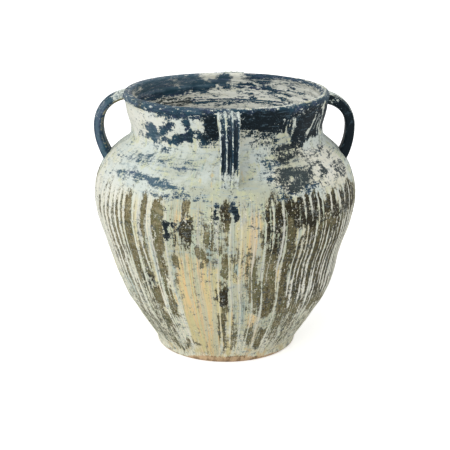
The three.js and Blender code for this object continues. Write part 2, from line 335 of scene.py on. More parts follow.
# Places where the navy is scraped through to cream
WORN_MARKS = (
    (32, 308, 0.5, 12, 0.7, 1.6), (34.8, 306, 0.7, 12, 0.9, 1.5), (37, 312, 0.5, 9, 0.7, 1.8),
    (39.6, 309, 0.9, 11, 0.95, 1.2), (33.5, 297, 3.5, 3, 0.7), (53, 295, 2.2, 3.4, 0.9, 0.6),
    (56.2, 302.5, 3.4, 2.4, 1.1, 3.85), (62, 304, 2.2, 2.2, 0.95, 5.5), (65.5, 297, 1, 9, 0.8, 1),
    (69, 304, 1.1, 13, 0.9), (-80, 250, 9, 16, 1), (-52.4, 297, 1.8, 1.8, 0.9),
    (-25.8, 305, 2.4, 4.5, 0.9, 0.6), (-41.2, 299, 1, 6, 0.6, -1.5), (-16.8, 312, 3.2, 6, 1),
    (-34, 297, 5, 1.4, 0.7, 0.8), (-18, 294, 0.7, 6, 0.6, -2), (31, 244.5, 0.9, 2.4, 0.6),
    (36, 247, 1.4, 1.2, 0.5), (34, 254, 3, 1, 0.4),
)
OLIVE_MARKS = (
    # left stripes
    (-43.8, 169, 2.9, 59, 0.95), (-37, 150, 2.6, 28, 0.92), (-35.2, 200, 1.8, 26, 0.9),
    (-28.6, 191, 3, 32, 0.95), (-28.6, 142, 2.6, 18, 0.85), (-28.6, 112, 2.4, 14, 0.8),
    (-48.5, 172, 1.2, 51, 0.8), (-51.5, 176, 1.2, 46, 0.75), (-54.5, 178, 1.1, 38, 0.75),
    (-59, 185, 1, 36, 0.75), (-63, 190, 1, 24, 0.65), (-68, 192, 1.5, 10, 0.75), (-52, 130, 4, 26, 0.58),
    (-60, 135, 4, 28, 0.46), (-47.5, 116, 3, 20, 0.66), (-40.5, 112, 2.4, 16, 0.78),
    (-32, 114, 2, 14, 0.75),
    # lower left
    (-36, 98, 3.5, 15, 0.95), (-34, 66, 5, 16, 0.7), (-42, 82, 5, 20, 0.56),
    (-28.5, 90, 2.5, 18, 0.85, 1.5), (-26.5, 76, 3.4, 3, 0.9), (-52, 90, 8, 26, 0.4),
    (-46, 45, 14, 26, 0.44), (-58, 60, 8, 34, 0.4), (-25.5, 33, 3, 6, 0.8), (-20.5, 30, 2, 3, 0.85),
    (-34, 22, 9, 8, 0.62),
    # front
    (-16, 216, 1.8, 6, 0.85), (-22, 205, 1, 6, 0.7), (-15.8, 194, 3, 15, 0.95), (-20, 190, 7, 22, 0.36),
    (-21.6, 156, 1.4, 8, 0.9), (-10.5, 168, 2.6, 8, 0.7), (-10, 162, 2, 5, 0.9), (-9.8, 147, 0.9, 4, 1),
    (-22, 127, 1, 10, 0.7), (0.2, 208, 2.2, 17, 0.85), (-4.6, 178, 0.9, 26, 0.8), (-7.5, 187, 1, 10, 0.95),
    (-2.4, 174, 1, 12, 0.9), (-8, 158, 0.9, 8, 0.9), (6, 148, 7, 24, 0.42), (7, 110, 6, 24, 0.22),
    (0.8, 186, 1.1, 18, 0.7), (0.4, 148, 1.9, 16, 1.1), (-1, 125, 2.6, 3, 0.75), (-1.8, 111, 3, 10, 1.05),
    (-4.2, 112, 1.6, 4, 0.9), (-0.8, 93, 2, 9, 0.78), (-2.8, 58, 2.4, 28, 0.86), (-1.2, 36, 1.6, 14, 0.7),
    (3.8, 62, 1.4, 18, 0.62), (4.4, 40, 1.8, 16, 0.8),
    # right
    (12.5, 132, 1.9, 26, 0.9), (13.6, 108, 3, 20, 0.95), (20.5, 106, 5.2, 30, 1), (20, 150, 2.4, 32, 0.95),
    (20.5, 186, 5, 46, 0.68), (21.2, 200, 1.6, 28, 1), (17.4, 195, 1.2, 30, 0.95),
    (24.4, 188, 1.2, 36, 0.95), (15.2, 176, 0.8, 18, 0.75), (26.4, 221, 1.5, 11, 1.05),
    (28, 170, 2.3, 60, 1), (37.5, 204, 9, 18, 0.85), (61, 207, 16, 16, 0.85), (46, 150, 16, 42, 1.05),
    (49, 95, 20, 22, 0.7), (74, 160, 18, 56, 0.62), (31, 100, 6, 20, 0.9),
    # lower right
    (13.6, 48, 3, 20, 0.72), (22, 42, 4, 22, 0.75), (29, 60, 5, 34, 0.56), (39, 55, 7, 36, 0.46),
    (52, 60, 10, 40, 0.34), (64, 70, 8, 44, 0.34),
)
DARK_MARKS = (
    (-25, 319, 26, 4, 0.5), (20, 305, 16, 26, 1), (57, 300, 24, 26, 0.95), (-9, 310, 6, 20, 0.9),
    (-22, 300, 8, 16, 0.5), (38, 275, 14, 12, 0.55), (27, 217, 3, 20, 0.9), (37, 205, 10, 18, 0.95),
    (60, 205, 16, 16, 0.75), (28, 150, 4, 60, 0.5), (20.5, 195, 5, 34, 0.8), (0, 110, 6, 12, 0.85),
    (-2, 50, 5, 30, 0.6), (1, 213, 7, 12, 0.75), (-19, 192, 7, 20, 0.75), (50, 140, 22, 50, 0.55),
    (20, 105, 6, 24, 0.4), (-37, 120, 6, 12, 0.7),
)
PALE_MARKS = (
    (-42, 252, 32, 26, 0.6), (-68, 326, 34, 10, 0.38), (-16, 331, 24, 5, 0.42), (40, 331, 34, 5, 0.35),
    (-46, 297, 9, 12, 0.4), (33, 244, 12, 14, 0.2), (22, 45, 30, 30, 0.3), (-50, 60, 26, 50, 0.3),
)
OCHRE_MARKS = (
    (-13, 85, 11, 80, 1), (-5, 60, 5, 44, 0.8), (-20, 135, 3, 30, 0.75), (8, 165, 6, 46, 0.6),
    (10, 183, 5, 24, 0.85), (10, 120, 5, 14, 0.5), (6, 146, 6, 22, 0.7), (-18, 205, 4, 18, 0.6),
    (14, 76, 3.2, 8, 0.95), (17, 52, 1.5, 14, 0.7), (1.5, 80, 2.5, 18, 0.75), (2, 30, 4, 20, 0.7),
    (-36, 108, 5, 6, 0.8), (-27, 105, 4, 10, 0.8), (-8, 258, 4, 20, 0.25), (9, 258, 3, 16, 0.25),
    (24, 128, 2.4, 10, 0.7), (40, 262, 5, 3, 0.4), (39, 118, 2, 10, 0.6), (0, 12, 60, 6, 0.7),
    (-14.5, 212, 1.5, 8, 0.8),
)
SKY_MARKS = (
    (4.8, 150, 1.3, 8, 0.65), (8.2, 92, 1.2, 30, 0.55), (-6.5, 165, 1.8, 40, 0.5), (0.5, 176, 1.2, 14, 0.6),
    (-32.4, 150, 1, 70, 0.45), (-23.5, 130, 1.8, 60, 0.45), (-20, 262, 9, 16, 0.3), (42, 72, 2.5, 10, 0.5),
    (-55, 70, 12, 50, 0.42), (10.5, 118, 1.2, 30, 0.5),
)
# Places strewn with small dark specks
SPECK_MARKS = (
    (-6, 231, 20, 12, 0.34), (20.5, 255, 5, 44, 0.46), (-20, 215, 12, 14, 0.36), (20, 190, 6, 44, 0.46),
    (-36, 60, 16, 48, 0.36), (34, 232, 14, 14, 0.6), (4, 178, 22, 50, 0.34), (-54, 150, 20, 70, 0.24),
    (30, 70, 34, 60, 0.36),
)
# Places where the cream is thin and dull
DULL_MARKS = (
    (2, 180, 30, 70, 1), (8, 250, 26, 40, 0.3), (16, 100, 20, 50, 0.9), (35, 270, 13, 40, 0.75),
    (-20, 262, 16, 26, 0.5), (-36, 160, 8, 60, 0.4),
)
# Places where the cream is thick and clean
BRIGHT_MARKS = (
    (-58, 303, 24, 16, 1), (-26, 308, 6, 8, 0.6), (-64, 180, 16, 60, 0.75), (50, 105, 20, 36, 0.9),
    (56, 165, 18, 46, 0.6), (58, 254, 16, 26, 0.8), (-38, 36, 10, 20, 0.35), (34, 40, 12, 22, 0.4),
)
# Places on the shoulder where the glaze is warmer, and its navy browner
WARM_MARKS = (
    (37, 273, 12, 15, 1), (35, 246, 14, 16, 1.2), (58, 248, 16, 28, 1), (-68, 262, 18, 30, 0.45),
)
# Navy on the inside of the neck, with depths below the crest of the lip in place of levels
INSIDE_MARKS = (
    (-122, 12, 25, 13, 1), (-134, 21, 22, 6, 1.2), (-157, 10, 13, 7, 1), (-156, 19, 13, 5.5, 1.15),
    (-170, 15, 9, 5.5, 1.1), (-178, 12, 5, 8, 1.2), (-178, 19, 5, 2.5, 1.05), (163, 5.5, 6.5, 4.5, 0.75),
    (150, 3, 7, 2.4, 0.7), (-138, 29, 9, 1.4, 0.95), (-131, 31.5, 7, 1.2, 0.9), (-146, 33.5, 8, 0.9, 0.85),
    (-178, 39, 6, 1.3, 1.1), (-164, 41, 3, 1, 0.9), (170, 36, 2.5, 1.2, 0.9), (171, 26, 1.5, 1.6, 0.9),
    (-160, 29.5, 1.6, 2, 0.9), (155, 10, 7, 6, 0.7), (155, 18, 5, 4, 0.65), (145, 15, 2, 1.6, 1),
    (148, 25, 3, 1.2, 1), (162, 27, 2.5, 1.2, 1), (140, 21, 3, 1.2, 1), (133, 12, 3, 1.2, 1),
    (168, 14, 2, 1.4, 1), (136, 32, 4, 1.2, 1), (108, 5, 8, 1.6, 0.8), (128, 8, 12, 2, 0.5, 0.1),
    (120, 17, 14, 2.2, 0.5, 0.1), (160, 21, 12, 2, 0.4), (-155, 26, 12, 1.6, 0.4), (172, 31, 16, 1.2, 0.5),
    (138, 28, 14, 1.8, 0.4), (112, 30, 12, 2.4, 0.4), (-140, 38, 14, 4, 0.5),
)
# Painted light: places where the navy inside the neck is lightened towards slate to stand in for light on the
# shaded inner wall, by depth as well
INSIDE_PAINTED_LIGHT_MARKS = ((-132, 8, 42, 11, 0.8), (-179.5, 10, 9, 10, 0.3))
# Cream smeared over the lip and torn through the navy inside it
INSIDE_WORN_MARKS = (
    (69, -14, 4.5, 5, 0.9), (174.5, 1, 6, 5, 1), (-170, 3, 6, 4, 1), (-108, 10, 3, 2, 0.8),
    (-98, 16, 4, 2, 0.7),
)
# The warm patch inside the neck, by depth as well
INSIDE_WARM_MARKS = ((-140, 36, 15, 8, 1.0),)
# Heights of the two fine seam lines inside the neck
INNER_SEAMS = (267, 264.6)
SEAM_WIDTH = 0.7
SEAM_DEPTH = 0.4

# Edges of each kind of mark: softness in mm, drift sideways in degrees and drift upwards in mm
EDGES = {
    "navy": (4.0, 1.1, 2.2),
    "worn": (1.5, 0.6, 1.5),
    "stripe": (2.4, 0.3, 5.0),
    "ochre": (8.0, 0.5, 6.0),
    "dark": (6.0, 0.5, 2.0),
    "pale": (9.0, 0.5, 2.0),
    "warm": (8.0, 0.5, 3.0),
    "speck": (11.0, 0.5, 3.0),
    "bright": (14.0, 0.5, 3.0),
    "dull": (20.0, 0.5, 3.0),
    "dash": (1.2, 0.6, 1.0),
    "inside": (4.0, 1.5, 3.0),
    # edges of the painted light inside the neck
    "inside_painted_light": (4.0, 1.0, 2.0),
    "inside_worn": (3.0, 1.5, 2.0),
    "inside_warm": (5.0, 1.5, 2.0),
}
MARK_ROUNDNESS = 3.2
LOOSE_TILT = 0.15

# Runs of cream glaze down the front: bearing, width in mm, top level, bottom level
# and slant in degrees per 100 mm
CREAM_RUNS = (
    (-66, 1.8, 214, 60, 1.0), (-61.2, 2.0, 218, 70, 1.0), (-57, 2.2, 220, 90, 1.2),
    (-53, 2.0, 221, 60, 1.2), (-49.9, 1.8, 222, 110, 1.2), (-47.2, 2.2, 228, 60, 0.6),
    (-41.0, 2.0, 228, 96, 0.3), (-38.8, 1.8, 226, 132, 3.6), (-33.2, 1.6, 226, 20, 0.6),
    (-31.9, 1.5, 226, 60, 0.8), (-25.0, 1.9, 214, 20, 0.4), (12.2, 1.5, 190, 30, 0.0),
    (16.6, 2.0, 200, 20, 0.4), (19.4, 1.4, 224, 120, 0.0), (23.2, 1.8, 300, 76, 0.6),
    (25.4, 1.6, 178, 20, -0.4), (30.8, 1.6, 186, 100, 0.0), (-3.2, 1.5, 200, 24, 0.0),
    (2.0, 1.5, 200, 30, 0.0), (6.4, 1.8, 206, 20, 0.3),
)
# Where a comb of runs covers the olive: first and last bearing, top levels, bottom levels, widths
# and spacing in degrees
RUN_COMBS = (
    ((33.4, 76), (180, 192), (76, 110), (1.6, 3.2), 2.7),
    ((34.5, 76), (218, 228), (190, 208), (1.4, 2.6), 4.2),
    ((84, 172), (204, 228), (20, 140), (1.6, 3.4), 2.8),
    ((-176, -72), (204, 228), (20, 140), (1.6, 3.4), 2.8),
)
RUN_SLANT = 0.5
RUN_WANDER = 0.35
RUN_SWELL = 0.25
RUN_CORE = 0.62

# Levels between which one part of the finish gives way to the next
BARE_TOP = (3, 13)
STREAK_FOOT = (60, 130)
STREAK_TOP = (205, 235)
NAVY_FOOT = (205, 225)
WARM_TOP = (190, 250)
OLIVE_TOP = (222, 240)
NECK_FOOT = (275, 292)
# The same on the inside, as depths
INSIDE_FLOW = (2, 14)
LIP_NAVY_FOOT = (4, 10)
DEEP_OLIVE = (34, 90)
BRIGHT_FOOT = (40, 70)

# The lip's navy: its lower edge steps down from left to right of a bearing, and its crest is worn at another
LIP_NAVY_LEVEL = 318
LIP_NAVY_STEP = 4
LIP_STEP_BEARING = -25
WORN_CREST_BEARING = 62
WORN_CREST_WIDTH = 2.6
# The bare band at the foot is tallest at a bearing, and lower by a drop away from it
BARE_BEARING = 4
BARE_DROP = 5
# Bearings of the sides and the back
UNSEEN = (78, 282)


def drift(seed):
    """Irregular field of long and short waves, about -1 to 1, that takes the drawn look off the marks."""
    random = np.random.default_rng(seed)
    return 0.7 * waves(random, 16, (10, 30), (20, 70)) + 0.45 * waves(random, 20, (40, 110), (6, 20))


DRIFT_TURN, DRIFT_RISE = drift(3), drift(4)


def painted(marks, kind, start=0.0):
    """Field of a list of marks of one kind, 1 inside a mark, with levels that count from a starting level."""
    soft, sideways, upwards = EDGES[kind]
    field = np.zeros((ROWS, COLUMNS))
    for bearing, level, half_turn, half_height, amount, *tilt in marks:
        turn = turn_from(bearing) + sideways * DRIFT_TURN
        rise = LEVEL - start - level - sum(tilt) * turn + upwards * DRIFT_RISE
        beside = np.abs(turn / half_turn) ** MARK_ROUNDNESS
        above = np.abs(rise / half_height) ** MARK_ROUNDNESS
        reach = (beside + above) ** (1 / MARK_ROUNDNESS)
        depth = (1 - reach) * np.minimum(half_turn * DEGREE, half_height)
        field = np.maximum(field, amount * eased(depth, -soft, soft))
    return field


def ripple(random, lengths):
    """Wave along the level of a random length and phase."""
    return np.sin(LEVEL / random.uniform(*lengths) + random.uniform(0, 6))


def glaze_runs(random):
    """Field of the cream runs: the listed ones in front and loose combs of them elsewhere."""
    runs = list(CREAM_RUNS)
    for (bearing, last), tops, bottoms, widths, spacing in RUN_COMBS:
        while bearing < last:
            slant = random.uniform(-RUN_SLANT, RUN_SLANT)
            width, top, bottom = (random.uniform(*limits) for limits in (widths, tops, bottoms))
            runs.append((bearing, width, top, bottom, slant))
            bearing += spacing * random.uniform(0.6, 1.4)
    field = np.zeros((ROWS, COLUMNS))
    for bearing, width, top, bottom, slant in runs:
        wander = RUN_WANDER * ripple(random, (14, 30))
        across = turn_from(bearing + slant * (top - LEVEL) / 100 + wander) * DEGREE
        swell = 1 + RUN_SWELL * ripple(random, (8, 20))
        ends = eased(LEVEL, bottom - 6, bottom + 10) * (1 - eased(LEVEL, top - 4, top + 8))
        field = np.maximum(field, bell(across, RUN_CORE * width * swell) * ends)
    return field * OUTSIDE


def scattered(random, count, bearings, levels, half_turns, half_heights, amounts):
    """Marks placed at random in a zone."""
    marks = []
    for _ in range(count):
        place = [random.uniform(*limits) for limits in (bearings, levels, half_turns, half_heights)]
        tilt = random.uniform(-LOOSE_TILT, LOOSE_TILT)
        marks.append((*place, random.uniform(*amounts), tilt))
    return tuple(marks)


def unseen_marks(random):
    """The finish of the sides and the back, in the manner of the front."""
    navy = (
        *scattered(random, 9, UNSEEN, (292, 318), (7, 16), (8, 20), (0.8, 1.0)),
        *scattered(random, 16, UNSEEN, (226, 284), (4, 13), (1.5, 4), (0.6, 0.95)),
        *scattered(random, 5, UNSEEN, (240, 256), (5, 10), (5, 9), (0.7, 1.0)),
        *scattered(random, 10, UNSEEN, (218, 236), (5, 10), (3, 6), (0.45, 0.6)),
    )
    olive = (
        *scattered(random, 26, UNSEEN, (130, 200), (2, 6), (26, 60), (0.75, 1.0)),
        *scattered(random, 14, UNSEEN, (30, 110), (2, 5), (16, 38), (0.5, 0.8)),
    )
    ochre = scattered(random, 9, UNSEEN, (60, 180), (5, 11), (20, 60), (0.5, 1.0))
    sky = scattered(random, 8, UNSEEN, (60, 200), (1, 2), (20, 50), (0.4, 0.8))
    dark = scattered(random, 10, UNSEEN, (90, 310), (6, 14), (10, 40), (0.5, 1.0))
    return navy, olive, ochre, sky, dark


def seam_line(height):
    """1 along a seam line inside the neck, 0 away from it."""
    return np.where(OUTSIDE, 0, bell(HEIGHT - height, SEAM_WIDTH))


def lip_navy(random):
    """Navy of the lip, with flecks of cream in it."""
    past_step = turn_from(LIP_STEP_BEARING)
    edge = LIP_NAVY_LEVEL + LIP_NAVY_STEP * (eased(-past_step, 5, 45) - eased(past_step, 5, 20)) + DRIFT_RISE
    lip = eased(LEVEL, edge - 2, edge + 3) * (1 - eased(DEPTH, *LIP_NAVY_FOOT))
    flecks = 0.5 * eased(waves(random, 24, (14, 60), (3, 8)), 0.1, 1.3)
    worn_side = eased(np.cos(np.radians(turn_from(WORN_CREST_BEARING))), 0.25, 0.7)
    return lip - flecks - 0.75 * bell(DEPTH, WORN_CREST_WIDTH) * worn_side


def inside_navy(random, cloud):
    """Navy on the inside of the neck: brushed patches at the lip, dashes and seam lines below them."""
    near = scattered(random, 14, (-90, 90), (6, 40), (6, 18), (2, 9), (0.6, 1.0))
    dashes = scattered(random, 60, (96, 264), (8, 40), (1.0, 4.0), (0.6, 1.3), (0.9, 1.2))
    streaks = scattered(random, 26, (142, 172), (2, 22), (2.0, 6.0), (0.7, 1.4), (1.0, 1.25))
    field = painted(INSIDE_MARKS + near, "inside", CREST)
    field = np.maximum(field, painted(dashes + streaks, "dash", CREST))
    field = np.maximum(field, 0.15 * cloud - 0.4)
    for seam in INNER_SEAMS:
        field = np.maximum(field, 1.05 * seam_line(seam))
    return np.where(OUTSIDE, 0, field)


def pot_navy(random, cloud, unseen):
    """Navy of the whole skin: brushed on the neck and shoulder, on the lip and inside the neck."""
    navy = painted(NAVY_MARKS + unseen, "navy") * OUTSIDE
    calm = 1.3 * OUTSIDE * (1 - eased(LEVEL, *NAVY_FOOT)) + 0.1
    navy = navy - calm * (1 - np.clip(navy, 0, 1)) - painted(WORN_MARKS, "worn") * OUTSIDE
    navy = np.maximum(navy, lip_navy(random))
    navy = np.maximum(navy, inside_navy(random, cloud))
    return navy - painted(INSIDE_WORN_MARKS, "inside_worn", CREST)


def pot_warmth():
    """Where the cream is warm: below the shoulder, on the neck and in patches."""
    below_shoulder = 1 - eased(LEVEL, *WARM_TOP)
    on_neck = 0.5 * eased(LEVEL, *NECK_FOOT)
    outside = np.maximum(np.maximum(below_shoulder, on_neck), painted(WARM_MARKS, "warm"))
    inside = 0.3 + 0.7 * painted(INSIDE_WARM_MARKS, "inside_warm", CREST)
    return np.where(OUTSIDE, outside, inside)


def pot_lines(ochre):
    """Where fine upright lines show: on the belly, fewer on its left and in the ochre."""
    left = eased(-BEARING, 38, 55) * eased(BEARING, -110, -90)
    streaked = (0.55 + 0.45 * eased(LEVEL, *STREAK_FOOT)) * (1 - eased(LEVEL, *STREAK_TOP))
    return streaked * (1 - 0.6 * left) * (1 - 0.5 * ochre) * OUTSIDE


def pot_finish():
    """Glaze fields of the whole skin."""
    random = np.random.default_rng(7)
    run = glaze_runs(random)
    more_navy, more_olive, more_ochre, more_sky, more_dark = unseen_marks(random)
    cloud = waves(random, 14, (3, 14), (30, 120))
    navy = pot_navy(random, cloud, more_navy)
    deep_olive = eased(DEPTH, *DEEP_OLIVE) * (1.5 + 0.1 * cloud) - 1
    olive = np.where(OUTSIDE, painted(OLIVE_MARKS + more_olive, "stripe"), deep_olive)
    ochre = painted(OCHRE_MARKS + more_ochre, "ochre") * OUTSIDE
    dark = painted(DARK_MARKS + more_dark, "dark") - painted(PALE_MARKS, "pale")
    drop = BARE_DROP * eased(np.abs(turn_from(BARE_BEARING)), 18, 45)
    bare = 1 - eased(LEVEL + 2.0 * cloud + drop, *BARE_TOP)
    at_back = 0.4 * eased(np.abs(BEARING), 70, 95)
    fields = {
        "navy": navy,
        "olive": olive - 0.3 * OUTSIDE * eased(LEVEL, *OLIVE_TOP),
        "ochre": ochre,
        "sky": painted(SKY_MARKS + more_sky, "stripe") * OUTSIDE,
        # Inside the neck the dark field is only lowered: painted light that makes the navy paler on the
        # shaded inner wall
        "dark": np.where(OUTSIDE, dark, -painted(INSIDE_PAINTED_LIGHT_MARKS, "inside_painted_light", CREST)),
        "bare": np.where(ROW >= starts["floor_inside"], 1.0, bare),
        "run": run,
        "warm": pot_warmth(),
        "lines": pot_lines(ochre),
        "bright": np.where(OUTSIDE, painted(BRIGHT_MARKS, "bright"), 1 - eased(DEPTH, *BRIGHT_FOOT)),
        "speck": np.maximum(painted(SPECK_MARKS, "speck") * OUTSIDE, 0.06) - 0.2 * ochre,
        "dull": np.maximum(painted(DULL_MARKS, "dull") * OUTSIDE, at_back),
    }
    return {label: np.broadcast_to(field, (ROWS, COLUMNS)) for label, field in fields.items()}


finish = pot_finish()


# Hand-thrown surface

# How far the pot leans to the right, and how much fuller it is than its section, by height, in millimetres
LEAN = (
    (0, 1.2), (25, 2.0), (60, 2.2), (85, 1.9), (105, 0.2), (125, -0.5), (145, 0.2),
    (225, 0.1), (238, 0.6), (248, 2.0), (258, 1.9), (268, 1.6), (298, 1.4),
)
GIRTH = (
    (0, -0.6), (20, -0.9), (48, -0.8), (64, 0.7), (93, 0.7), (106, -0.3), (122, -0.6), (134, -0.5),
    (145, 0.7), (157, 0.7), (178, -0.35), (200, -0.4), (216, -0.6), (238, -1.0), (247, 0.4), (256, 0.4),
    (266, -0.9), (276, -0.4), (290, -0.6), (298, -0.2),
)
TABLE_STEPS = 300
TABLE_SMOOTHING = 6

# Amounts of the hand-made surface in millimetres
WOBBLE = 0.3
DENTS = 0.12
RINGS_OUTSIDE = 0.12
RINGS_INSIDE = 0.3
RING_SPACING = 7.4
RUN_HEIGHT = 0.34
NAVY_HEIGHT = 0.1
GROUND_BLEND = (0.5, 9)
CREST_MARGIN = 0.02
SIDE_MARGIN = 0.05

# On the inside the finish is drawn out round the pot and crowded along the section
INSIDE_DRAWN_OUT = 0.6
INSIDE_CROWDED = 1.2


def measured(table, height):
    """Smoothed value of a table of (height, millimetres) at each height."""
    heights, values = zip(*table)
    fine = np.linspace(heights[0], heights[-1], TABLE_STEPS)
    window = np.ones(2 * TABLE_SMOOTHING + 1) / (2 * TABLE_SMOOTHING + 1)
    padded = np.pad(np.interp(fine, heights, values), TABLE_SMOOTHING, mode="edge")
    return np.interp(height, fine, np.convolve(padded, window, mode="valid"))


def pot_relief():
    """How far the hand-made surface stands off the drawn section, in millimetres."""
    random = np.random.default_rng(11)
    wobble = WOBBLE * waves(random, 8, (1, 4), (140, 400))
    dents = DENTS * waves(random, 16, (5, 14), (18, 60))
    ring_height = np.where(OUTSIDE, RINGS_OUTSIDE, RINGS_INSIDE)
    ring_height = ring_height * (0.7 + 0.3 * waves(random, 6, (1, 5), (60, 200)))
    rings = ring_height * np.sin(2 * math.pi * LEVEL / RING_SPACING + ANGLE)
    glaze = RUN_HEIGHT * finish["run"] + NAVY_HEIGHT * finish["navy"]
    girth = measured(GIRTH, HEIGHT) * OUTSIDE
    seams = -SEAM_DEPTH * sum(seam_line(height) for height in INNER_SEAMS)
    relief = eased(HEIGHT, *GROUND_BLEND) * (wobble + dents + rings + glaze + girth + seams)
    return np.where(ROW >= starts["drain"], 0, relief)


def pot_points():
    """Place of every point of the skin, in millimetres, kept inside the drawn belly and lip."""
    relief = pot_relief()
    limit = BELLY_RADIUS - SIDE_MARGIN
    radius = np.minimum(RADIUS + section_normal[:, 0][:, None] * relief, limit)
    height = np.minimum(HEIGHT + section_normal[:, 1][:, None] * relief, POT_HEIGHT - CREST_MARGIN)
    x = radius * np.sin(ANGLE) + measured(LEAN, height)
    y = -radius * np.cos(ANGLE)
    return np.stack([np.clip(x, -limit, limit), y, height], axis=-1)


def pot_flow():
    """Coordinates that the finish flows along: round the pot and down it."""
    inside = np.where(OUTSIDE, 0, eased(DEPTH, *INSIDE_FLOW))
    around = BELLY_RADIUS * (1 - INSIDE_DRAWN_OUT * inside)
    down = LEVEL + INSIDE_CROWDED * inside * DEPTH
    return np.stack(np.broadcast_arrays(around * np.cos(ANGLE), around * np.sin(ANGLE), down), axis=-1)


def grid_normals(points):
    """Normals of the whole skin, so that neighbouring pieces shade as one surface."""
    around = np.roll(points, -1, axis=1) - np.roll(points, 1, axis=1)
    along = np.roll(points, -1, axis=0) - np.roll(points, 1, axis=0)
    return unit(np.cross(around, along))


skin_points = pot_points()
skin_normals = grid_normals(skin_points)
skin_flow = pot_flow()


# Meshes

def make_object(name, vertices, faces, uv, attributes, flow, material, normals=None):
    """Smooth mesh object from arrays in millimetres, with its glaze fields as attributes."""
    mesh = bpy.data.meshes.new(name)
    mesh.from_pydata((np.asarray(vertices) * MM).tolist(), [], faces)
    mesh.polygons.foreach_set("use_smooth", [True] * len(mesh.polygons))
    layer = mesh.uv_layers.new(name="OFBake")
    layer.data.foreach_set("uv", np.asarray(uv, np.float32).ravel())
    for label, values in attributes.items():
        made = mesh.attributes.new(label, "FLOAT", "POINT")
        made.data.foreach_set("value", np.asarray(values, np.float32).ravel())
    made = mesh.attributes.new("flow", "FLOAT_VECTOR", "POINT")
    made.data.foreach_set("vector", np.asarray(flow, np.float32).ravel())
    mesh.materials.append(material)
    mesh.update()
    if normals is not None:
        mesh.normals_split_custom_set_from_vertices(np.asarray(normals).tolist())
    piece = bpy.data.objects.new(name, mesh)
    bpy.context.collection.objects.link(piece)
    return piece


def band_faces(lower, lower_step, upper, upper_step):
    """Faces between two rows, as (row, column) corners. The finer row's step divides the coarser one's."""
    faces = []
    step = max(lower_step, upper_step)
    for column in range(0, COLUMNS, step):
        if lower_step == upper_step:
            faces.append([(lower, column), (lower, column + step), (upper, column + step), (upper, column)])
            continue
        count = step // min(lower_step, upper_step)
        half = (count + 1) // 2
        fine_row, coarse_row = (lower, upper) if lower_step < upper_step else (upper, lower)
        fan = []
        for k in range(count):
            tip = (coarse_row, column if k < half else column + step)
            fan.append([(fine_row, column + k), (fine_row, column + k + 1), tip])
        fan.append([(fine_row, column + half), (coarse_row, column + step), (coarse_row, column)])
        faces.extend(fan if fine_row == lower else [face[::-1] for face in fan])
    return faces


def skin_piece(name, chain, material):
    """Closed piece of the pot's skin from a ring of (row, column step) pairs."""
    corners = []
    for lower, upper in zip(chain, chain[1:] + chain[:1]):
        corners.extend(band_faces(*lower, *upper))
    number, faces, uv = {}, [], []
    order = {row: place for place, (row, _) in enumerate(chain)}
    tall = len(chain)
    first_row, last_row = chain[0][0], chain[-1][0]
    for face in corners:
        closing = {first_row, last_row} <= {row for row, _ in face}
        ids = []
        for row, column in face:
            key = (row, column % COLUMNS)
            ids.append(number.setdefault(key, len(number)))
            place = tall if closing and row == first_row else order[row]
            uv.append((column / COLUMNS, place / tall))
        faces.append(ids)
    rows, columns = np.array(list(number)).T
    return make_object(
        name,
        skin_points[rows, columns],
        faces,
        uv,
        {label: field[rows, columns] for label, field in finish.items()},
        skin_flow[rows, columns],
        material,
        skin_normals[rows, columns],
    )


def rows_between(first, last, step):
    """Chain rows from the start of one named stretch to the start of another, both included."""
    return [(row, step) for row in range(starts[first], starts[last] + 1)]


# Handles

STRAP_HALF_WIDTH = 10.5
STRAP_HALF_THICKNESS = 5.5
STRAP_SQUARENESS = 5.0
STRAP_FLUTES = 3
FLUTED_SHARE = 0.93
FLUTE_DEPTH = 1.6
FLUTE_SHARPNESS = 1.3
LIP_FLARE = 1.24
FOOT_FILLET = 0.35
SPRING = (101.8, 293)
STRAP_START = 110.4
CROWN = (142.5, 256)
LANDING_HEIGHT = 225
LANDING_LEAN = 204
LANDING_STEPS = 20
BURIED_SHARE = 0.55
TOP_MARGIN = 0.3
STRAP_RINGS = 120
STRAP_SIDES = 96
OUTLINE_STEPS = 20 * STRAP_SIDES

# Waves of a strap's width, as pairs of a share and a length in millimetres
STRAP_WAVES = ((0.03, 9), (0.02, 4.3))
# Distance in the flow between one handle's finish and the next
FLOW_APART = 400
# The flat layout of a strap: the share for its side, and the middles and the size of its two ends
SIDE_SHARE = 0.9
END_MIDDLES = ((0.25, 0.95), (0.75, 0.95))
END_SIZE = 0.05
# How much of a strap's finish is ridge, and the middle and width of the painted highlight along its sides
RIDGE_WIDTH = 0.34
SIDE_HIGHLIGHT_MIDDLE = 0.2
SIDE_HIGHLIGHT_WIDTH = 0.45

# Per handle: bearing from the front, shift of the crown outwards, sideways sway, share of the width,
# share of the thickness that is left at the lip and shift of the lip end upwards
HANDLES = {
    "handle_front": (1.7, 0.0, 0.6, 0.96, 0.9, 0.0),
    "handle_right": (90.0, -0.9, -0.5, 1.0, 1.25, -2.2),
    "handle_back": (174.5, -0.4, 0.5, 1.02, 0.95, 3.5),
    "handle_left": (-90.0, 0.7, 0.4, 1.0, 0.85, 0.9),
}


def outside_radius(height):
    """Radius of the drawn outside of the pot between the belly and the lip, at a height."""
    rows = section[starts["shoulder"]: starts["lip_inside"]]
    return np.interp(height, rows[:, 1], rows[:, 0])


